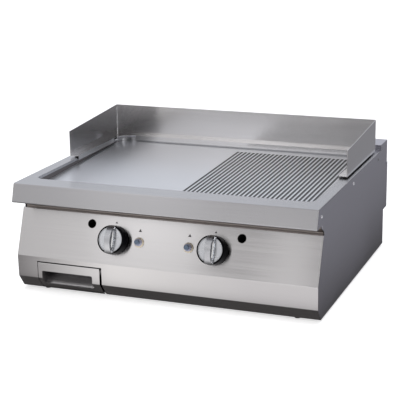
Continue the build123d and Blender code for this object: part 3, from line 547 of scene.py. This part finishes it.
# edges between the floor's painted bright and dim parts as steel mirrors it, each fading from its first place to
# its second: ahead of the griddle it glows with painted light, and beside it it holds a painted shadow that is
# less dim further out; along a slanting line to the right, the lit part first brightens and then dims a little
FLOOR_AHEAD = (-0.37, -0.46)
FLOOR_BESIDE = (0.4, 0.6)
FLOOR_SLANT = -0.55
FLOOR_BRIGHTENS = (-0.23, 0.06)
FLOOR_DIMS = (0.12, 0.45)


def stage_material():
    """White paper to the eye. In reflections it glows with painted light in front of the griddle and painted
    shadow beside it.
    """
    s = Shader("stage_paper", (0.93, 0.93, 0.93), 0.0, 0.9)
    s.surface.inputs["Specular IOR Level"].default_value = 0.1
    s.surface.inputs["Emission Color"].default_value = (1, 1, 1, 1)
    s.surface.inputs["Emission Strength"].default_value = PAPER_GLOW
    at = s.parts(s.where)
    across = s.add(at["X"], s.multiply(at["Y"], FLOOR_SLANT))
    lit = s.mix(s.ramp(across, *FLOOR_DIMS), (1.05, 1.03, 1.01), (0.80, 0.78, 0.78))
    lit = s.mix(s.ramp(across, *FLOOR_BRIGHTENS), (0.26, 0.25, 0.25), lit)
    beside = s.ramp(s.math("ABSOLUTE", at["X"]), *FLOOR_BESIDE)
    dim = s.mix(beside, (0.06, 0.057, 0.056), (0.24, 0.24, 0.255))
    glow = s.node("ShaderNodeEmission")
    s.link(s.mix(s.ramp(at["Y"], *FLOOR_AHEAD), dim, lit), glow.inputs["Color"])
    path = s.node("ShaderNodeLightPath")
    choice = s.node("ShaderNodeMixShader")
    s.link(path.outputs["Is Glossy Ray"], choice.inputs["Fac"])
    s.link(s.surface.outputs["BSDF"], choice.inputs[1])
    s.link(glow.outputs["Emission"], choice.inputs[2])
    s.link(choice.outputs["Shader"], s.tree.nodes["Material Output"].inputs["Surface"])
    return s.material


def floor():
    mesh = bpy.data.meshes.new("stage_floor")
    half = FLOOR_SIZE / 2
    corners = [(-half, -half, 0), (half, -half, 0), (half, half, 0), (-half, half, 0)]
    mesh.from_pydata(corners, [], [(0, 1, 2, 3)])
    plane = bpy.data.objects.new("stage_floor", mesh)
    bpy.context.scene.collection.objects.link(plane)
    mesh.materials.append(stage_material())


# ---------------------------------------------------------------- studio
# brightness of the studio in upright bands, by how far round each lies: the angle in degrees is
# 0 straight in front, -90 to the left, 90 to the right and 180 straight behind
STUDIO = (
    (-180, 0.40), (-168, 0.50), (-164, 0.54), (-157, 0.63), (-149, 0.58), (-120, 0.50), (-95, 0.2),
    (-60, 0.2), (-36, 0.42), (-29, 0.47), (-24, 0.62), (-21.5, 0.60), (-19.3, 0.26), (-14, 0.22),
    (-9, 0.30), (3, 0.30), (10, 0.04), (34, 0.04), (44, 0.25), (60, 0.25), (80, 0.1), (120, 0.2),
    (150, 0.5), (170, 0.5), (180, 0.40),
)
# softer lights drawn into that studio, in front: how far to the side, the half widths of their bright
# middle and of their fading edge, and their brightness; places and heights here and below are parts
# of a direction of length 1
STRIP = (-0.278, 0.0, 0.018, 0.52)
LOW_BOX = (-0.282, 0.052, 0.07, 1.0)
# heights between which the low box fades out upwards
LOW_BOX_TOP = (0.195, 0.225)
# how the bands brighten upwards: from one height to another, and from one factor to another
STUDIO_RISE = (0.0, 0.7, 1.2, 1.55)
# depths, negative in front, between which the light turns from warm to cool, and its two tints
TINT_TURN = (-0.6, 0.6)
WARM = (1.0, 0.985, 0.98)
COOL = (0.94, 0.965, 1.02)
BACKDROP = (1, 1, 1)


def band_curve(world, turn):
    """The brightness of the studio's bands; turn goes from 0 to 1 once round, starting behind."""
    bands = world.node("ShaderNodeFloatCurve")
    curve = bands.mapping.curves[0]
    while len(curve.points) < len(STUDIO):
        curve.points.new(0.5, 0.5)
    for point, (angle, level) in zip(curve.points, STUDIO):
        point.location = ((angle + 180) / 360, level)
        point.handle_type = "VECTOR"
    bands.mapping.update()
    world.link(turn, bands.inputs["Value"])
    return bands.outputs["Value"]


def upright_light(world, sideways, depth, place, middle, edge, brightness):
    """A soft upright band of light in front, bright in its middle and fading at both edges."""
    away = world.math("ABSOLUTE", world.math("SUBTRACT", sideways, place))
    lit = world.ramp(away, middle, edge, brightness, 0.0)
    return world.multiply(lit, world.math("LESS_THAN", depth, 0.0))


def studio_world():
    """A plain backdrop for the camera, and for reflections a soft studio with upright bands of light."""
    studio = bpy.data.worlds.new("studio")
    bpy.context.scene.world = studio
    studio.use_nodes = True
    world = NodeTree(studio.node_tree)
    coordinate = world.node("ShaderNodeTexCoord")
    sideways, depth, height = world.parts(coordinate.outputs["Generated"])
    level_part = world.math("SQRT", world.math("SUBTRACT", 1.0, world.multiply(sideways, sideways)))
    ahead = world.multiply(level_part, world.multiply(world.math("SIGN", depth), -1.0))
    compass = world.math("ARCTAN2", sideways, ahead)
    bands = band_curve(world, world.ramp(compass, -math.pi, math.pi))
    low_box = upright_light(world, sideways, depth, *LOW_BOX)
    low_box = world.multiply(low_box, world.ramp(height, *LOW_BOX_TOP, 1.0, 0.0))
    level = world.add(bands, upright_light(world, sideways, depth, *STRIP))
    level = world.multiply(level, world.ramp(height, *STUDIO_RISE))
    level = world.add(level, low_box)
    tint = world.mix(world.ramp(depth, *TINT_TURN), WARM, COOL)
    tinted = world.mix(1.0, level, tint, blend="MULTIPLY")
    path = world.node("ShaderNodeLightPath")
    seen = world.mix(path.outputs["Is Camera Ray"], tinted, BACKDROP)
    world.link(seen, world.tree.nodes["Background"].inputs["Color"])


# ---------------------------------------------------------------- lights and camera
GRIDDLE_MIDDLE = (0, 0, 0.2)
# name, place, point aimed at, size, brightness in a mirror, and whether steel mirrors it
LIGHTS = (
    ("front_left_box", (-0.675, -1.6, 1.3), (-0.1, 0, 1.1), (0.4, 1.1), 0.35, True),
    ("right_strip", (1.6, -0.75, 0.55), (0, -0.3, 0.2), (0.12, 0.6), 6.0, True),
    ("right_fill", (2.4, -1.4, 0.9), GRIDDLE_MIDDLE, (1.0, 1.0), 3.0, False),
    ("overhead_fill", (-0.4, -0.2, 3.0), GRIDDLE_MIDDLE, (2.6, 2.2), 1.0, False),
    ("overhead_strip", (0.6, -0.6, 2.2), GRIDDLE_MIDDLE, (0.15, 1.6), 6.0, True),
)
# azimuth to the right of the front, elevation and roll in degrees; lens and sensor in millimetres
CAMERA_PLACE = (1.1242, -2.9061, 1.0532)
CAMERA_TURN = (21.628, 15.56, -1.008)
CAMERA_LENS = 108.27
CAMERA_SENSOR = 36


def soft_light(name, place, target, size, radiance, mirrored):
    """A rectangle of even light; radiance is its brightness in a mirror."""
    data = bpy.data.lights.new(name, "AREA")
    data.shape = "RECTANGLE"
    data.size, data.size_y = size
    data.energy = radiance * math.pi * size[0] * size[1]
    lamp = bpy.data.objects.new(name, data)
    bpy.context.scene.collection.objects.link(lamp)
    lamp.location = place
    lamp.rotation_euler = (Vector(target) - Vector(place)).to_track_quat("-Z", "Y").to_euler()
    lamp.visible_camera = False
    lamp.visible_glossy = mirrored


def camera():
    """The view of a person standing to the right of the front, looking down a little."""
    azimuth, elevation, roll = map(math.radians, CAMERA_TURN)
    data = bpy.data.cameras.new("camera")
    data.sensor_width = CAMERA_SENSOR
    data.lens = CAMERA_LENS
    forward = Vector((-math.sin(azimuth), math.cos(azimuth), 0))
    look = forward * math.cos(elevation) - Vector((0, 0, math.sin(elevation)))
    level = Vector((math.cos(azimuth), math.sin(azimuth), 0))
    above = level.cross(look)
    right = math.cos(roll) * level + math.sin(roll) * above
    up = right.cross(look)
    seen = bpy.data.objects.new("camera", data)
    bpy.context.scene.collection.objects.link(seen)
    turn = Matrix((right, up, -look)).transposed().to_4x4()
    seen.matrix_world = Matrix.Translation(CAMERA_PLACE) @ turn
    bpy.context.scene.camera = seen


floor()
studio_world()
for light in LIGHTS:
    soft_light(*light)
camera()
bpy.context.scene.view_settings.view_transform = "Standard"
